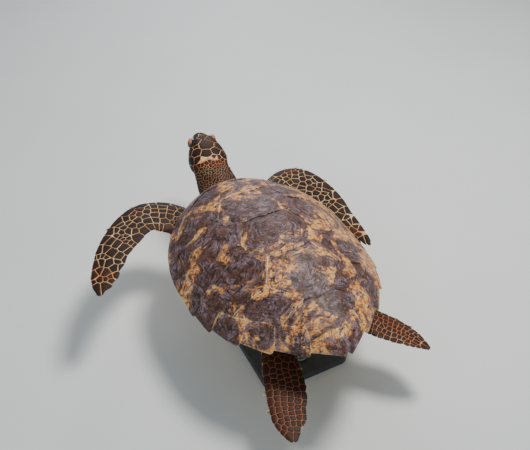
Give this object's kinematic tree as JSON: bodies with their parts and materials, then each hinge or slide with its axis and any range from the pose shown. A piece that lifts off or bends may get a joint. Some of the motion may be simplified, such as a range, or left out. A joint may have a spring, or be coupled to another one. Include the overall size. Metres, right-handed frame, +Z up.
{
  "type": "hawksbill sea turtle model",
  "caption": "Life-size hawksbill sea turtle in a level swimming pose, held on a plain display stand with a flat base and short rods.",
  "frame": {"origin": "middle of the bounding box, on the floor under the stand's base", "axes": "+Z up, +Y toward the turtle's head, +X toward its right side"},
  "size_m": [0.6588, 0.8874, 0.3149],
  "materials": {
    "skin": "scaly hide, dark scales parted by pale lines",
    "shell": "worn horn plates streaked amber and dark brown",
    "plastron": "smooth pale yellow horn",
    "horn": "worn amber-brown horn",
    "eye": "wet dark eye",
    "stand": "fine satin dark paint"
  },
  "bodies": {
    "root": {"nuchal": "shell", "vertebral_1": "shell", "vertebral_2": "shell", "vertebral_3": "shell", "vertebral_4": "shell", "vertebral_5": "shell", "costal_right_1": "shell", "costal_left_1": "shell", "costal_right_2": "shell", "costal_left_2": "shell", "costal_right_3": "shell", "costal_left_3": "shell", "costal_right_4": "shell", "costal_left_4": "shell", "rim_right": "shell", "rim_left": "shell", "plastron": "plastron", "claw_front_left_1": "horn", "claw_front_left_2": "horn", "flipper_front_left": "skin", "claw_front_right_1": "horn", "claw_front_right_2": "horn", "flipper_front_right": "skin", "claw_hind_left_1": "horn", "claw_hind_left_2": "horn", "flipper_hind_left": "skin", "claw_hind_right_1": "horn", "claw_hind_right_2": "horn", "flipper_hind_right": "skin", "eye_left": "eye", "eye_right": "eye", "beak_upper": "horn", "beak_lower": "horn", "head": "skin", "neck": "skin", "tail": "skin", "trunk": "skin", "stand_base": "stand", "stand_rod_front": "stand", "stand_rod_rear": "stand"}
  },
  "joints": []
}
